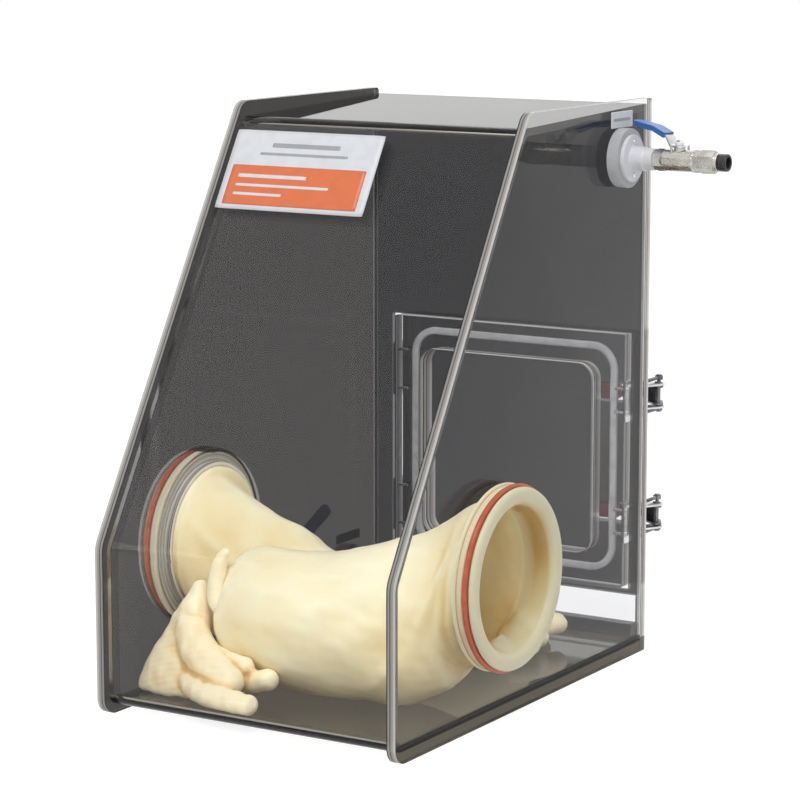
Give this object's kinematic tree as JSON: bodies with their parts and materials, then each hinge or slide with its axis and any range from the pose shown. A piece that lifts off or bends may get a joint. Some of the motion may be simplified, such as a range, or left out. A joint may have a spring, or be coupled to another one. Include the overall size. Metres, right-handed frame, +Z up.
{
  "type": "acrylic glove box",
  "caption": "Clear acrylic glove box with a sloped front, glove ports in both sides, a hinged transfer door with draw latches at the back and a ball valve on each side.",
  "frame": {"origin": "on the bench under the middle of the whole object's bounding box", "axes": "+X to the user's right when the slope is faced, +Y towards the transfer door at the back, +Z up"},
  "size_m": [0.598, 0.597, 0.6],
  "materials": {
    "acrylic": "clear and polished",
    "seal": "soft white cord",
    "latex": "soft cream latex",
    "red_rubber": "smooth",
    "white_plastic": "smooth white",
    "nickel": "nickel plated",
    "steel": "zinc plated",
    "dark_steel": "dull plated",
    "red_grip": "dipped red",
    "blue_grip": "dipped blue",
    "black_plastic": "satin black"
  },
  "bodies": {
    "enclosure": {"left_side_panel": "acrylic", "right_side_panel": "acrylic", "wrap_sheet": "acrylic", "back_panel": "acrylic", "top_batten": "acrylic", "bottom_batten": "acrylic", "left_port_ring": "acrylic", "right_port_ring": "acrylic", "door_frame": "acrylic", "upper_hinge_frame_leaf": "acrylic", "lower_hinge_frame_leaf": "acrylic", "left_clear_flange": "acrylic", "right_clear_flange": "acrylic", "door_seal": "seal", "left_glove": "latex", "right_glove": "latex", "left_cuff_oring": "red_rubber", "right_cuff_oring": "red_rubber", "left_white_adaptor": "white_plastic", "right_white_adaptor": "white_plastic", "left_valve_body": "nickel", "right_valve_body": "nickel", "left_tube_fitting": "nickel", "right_tube_fitting": "nickel", "valve_nipples": "nickel", "hinge_pins": "steel", "hinge_frame_screws": "steel", "upper_keeper": "steel", "lower_keeper": "steel", "keeper_screws": "steel", "flange_screws": "steel"},
    "door": {"door_panel": "acrylic", "upper_hinge_door_leaf": "acrylic", "lower_hinge_door_leaf": "acrylic", "hinge_door_screws": "steel", "upper_latch_base": "steel", "lower_latch_base": "steel", "latch_base_screws": "steel", "latch_pivot_rivets": "steel"},
    "upper_lever": {"upper_latch_lever": "dark_steel", "upper_latch_grip": "red_grip", "upper_link_pin": "dark_steel"},
    "upper_loop": {"upper_latch_loop": "steel"},
    "lower_lever": {"lower_latch_lever": "dark_steel", "lower_latch_grip": "red_grip", "lower_link_pin": "dark_steel"},
    "lower_loop": {"lower_latch_loop": "steel"},
    "right_handle": {"right_valve_ball": "nickel", "right_valve_stem": "nickel", "right_valve_lever": "steel", "right_lever_sleeve": "blue_grip", "right_lever_nut": "nickel"},
    "right_collar": {"right_release_collar": "black_plastic"},
    "left_handle": {"left_valve_ball": "nickel", "left_valve_stem": "nickel", "left_valve_lever": "steel", "left_lever_sleeve": "blue_grip", "left_lever_nut": "nickel"},
    "left_collar": {"left_release_collar": "black_plastic"}
  },
  "joints": [
    {"name": "door_swing", "type": "hinge", "parent": "enclosure", "child": "door", "pos_m": [-0.1461, 0.24194, 0.205], "axis": [0, 0, 1], "range_deg": [0, 170]},
    {"name": "upper_lever_swing", "type": "hinge", "parent": "door", "child": "upper_lever", "pos_m": [0.157, 0.28189, 0.2715], "axis": [0, 0, -1], "range_deg": [0, 150]},
    {"name": "upper_loop_swing", "type": "hinge", "parent": "upper_lever", "child": "upper_loop", "pos_m": [0.15203, 0.29391, 0.2715], "axis": [0, 0, -1], "range_deg": [-172.5, 0]},
    {"name": "lower_lever_swing", "type": "hinge", "parent": "door", "child": "lower_lever", "pos_m": [0.157, 0.28189, 0.1375], "axis": [0, 0, -1], "range_deg": [0, 150]},
    {"name": "lower_loop_swing", "type": "hinge", "parent": "lower_lever", "child": "lower_loop", "pos_m": [0.15203, 0.29391, 0.1375], "axis": [0, 0, -1], "range_deg": [-172.5, 0]},
    {"name": "right_handle_turn", "type": "hinge", "parent": "enclosure", "child": "right_handle", "pos_m": [0.2435, 0.14849, 0.542], "axis": [0, 0, -1], "range_deg": [-20, 70]},
    {"name": "left_handle_turn", "type": "hinge", "parent": "enclosure", "child": "left_handle", "pos_m": [-0.2435, 0.17149, 0.055], "axis": [0, -0.7071, 0.7071], "range_deg": [-64, 26]},
    {"name": "right_collar_push", "type": "slide", "parent": "enclosure", "child": "right_collar", "axis": [-1, 0, 0], "range_m": [0, 0.0015], "stiffness_N_per_m": 400, "springref_m": -0.002},
    {"name": "left_collar_push", "type": "slide", "parent": "enclosure", "child": "left_collar", "axis": [1, 0, 0], "range_m": [0, 0.0015], "stiffness_N_per_m": 400, "springref_m": -0.002}
  ],
  "couplings": [
    {"joint": "upper_loop_swing", "follows": "upper_lever_swing", "ratio": -1.15},
    {"joint": "lower_loop_swing", "follows": "lower_lever_swing", "ratio": -1.15}
  ]
}
